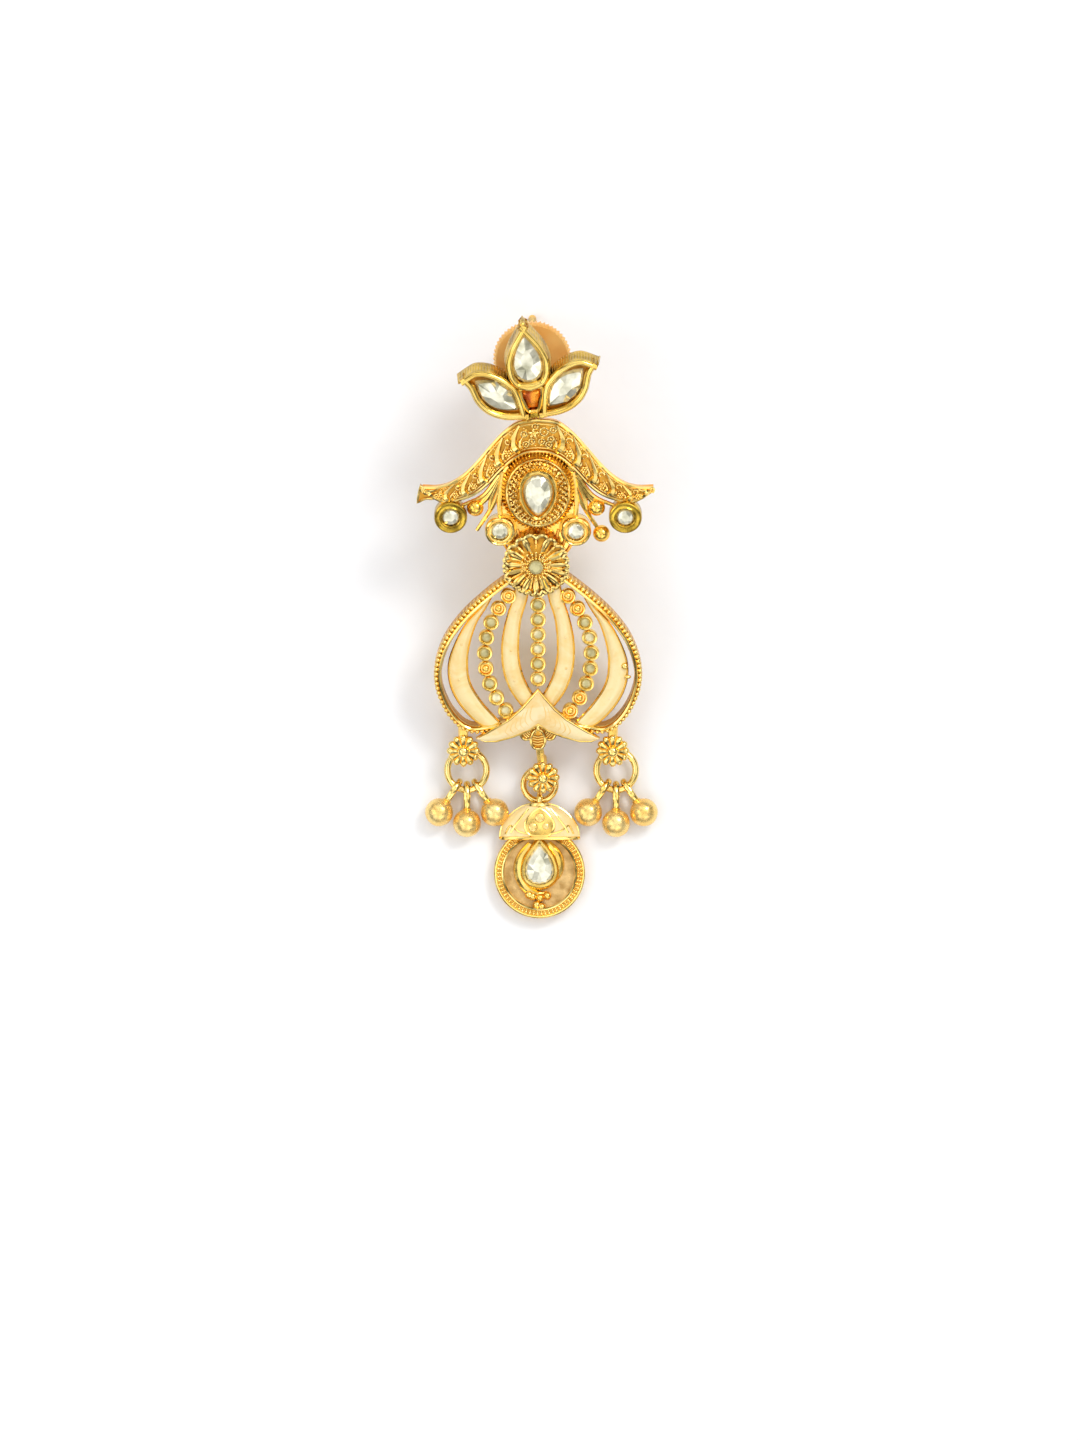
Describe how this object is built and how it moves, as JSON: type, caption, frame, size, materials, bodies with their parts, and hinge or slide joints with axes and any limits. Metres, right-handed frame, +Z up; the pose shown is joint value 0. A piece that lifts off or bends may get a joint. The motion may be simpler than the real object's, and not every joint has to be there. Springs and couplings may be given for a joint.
{
  "type": "drop earring",
  "caption": "Long drop earring: a petal-shaped stud with post and screw nut, a canopy, an openwork bulb with enamel blades, bead clusters and a round pendant.",
  "frame": {"origin": "middle of the base of the earring's bounding box, on the surface that it lies on", "axes": "+Y up the earring from its pendant to its stud, +Z up from the surface, +X to the right as its face is seen"},
  "size_m": [0.0244, 0.0604, 0.0198],
  "materials": {
    "gilt_metal": "polished gold plate",
    "dark_gilt_metal": "antique gold plate",
    "clear_stone": "faceted glass",
    "cream_enamel": "glossy cream enamel",
    "amber_fill": "orange-red glass"
  },
  "bodies": {
    "earring": {"bead_left_left": "gilt_metal", "bead_left_middle": "gilt_metal", "bead_left_right": "gilt_metal", "bead_right_left": "gilt_metal", "bead_right_middle": "gilt_metal", "bead_right_right": "gilt_metal", "chain_link_bottom": "gilt_metal", "chain_link_middle": "gilt_metal", "chain_link_top": "gilt_metal", "enamel_blade_left_inner": "cream_enamel", "enamel_blade_left_outer": "cream_enamel", "enamel_blade_right_inner": "cream_enamel", "enamel_blade_right_outer": "cream_enamel", "enamel_cap": "cream_enamel", "enamel_leaf": "cream_enamel", "heart_fill": "amber_fill", "main_frame": "gilt_metal", "pendant_frame": "gilt_metal", "ring_centre": "gilt_metal", "ring_left": "gilt_metal", "ring_right": "gilt_metal", "stone_bezel_left_inner": "clear_stone", "stone_bezel_left_outer": "clear_stone", "stone_bezel_right_inner": "clear_stone", "stone_bezel_right_outer": "clear_stone", "stone_medallion": "clear_stone", "stone_pendant": "clear_stone", "stone_petal_left": "clear_stone", "stone_petal_right": "clear_stone", "stone_petal_top": "clear_stone", "stone_rosette": "clear_stone", "stud_flower": "dark_gilt_metal"},
    "nut": {"screw_nut": "gilt_metal"}
  },
  "joints": [
    {"name": "nut_travel", "type": "slide", "parent": "earring", "child": "nut", "axis": [0, 0.3286, -0.9445], "range_m": [-0.0012, 0.0055]}
  ]
}
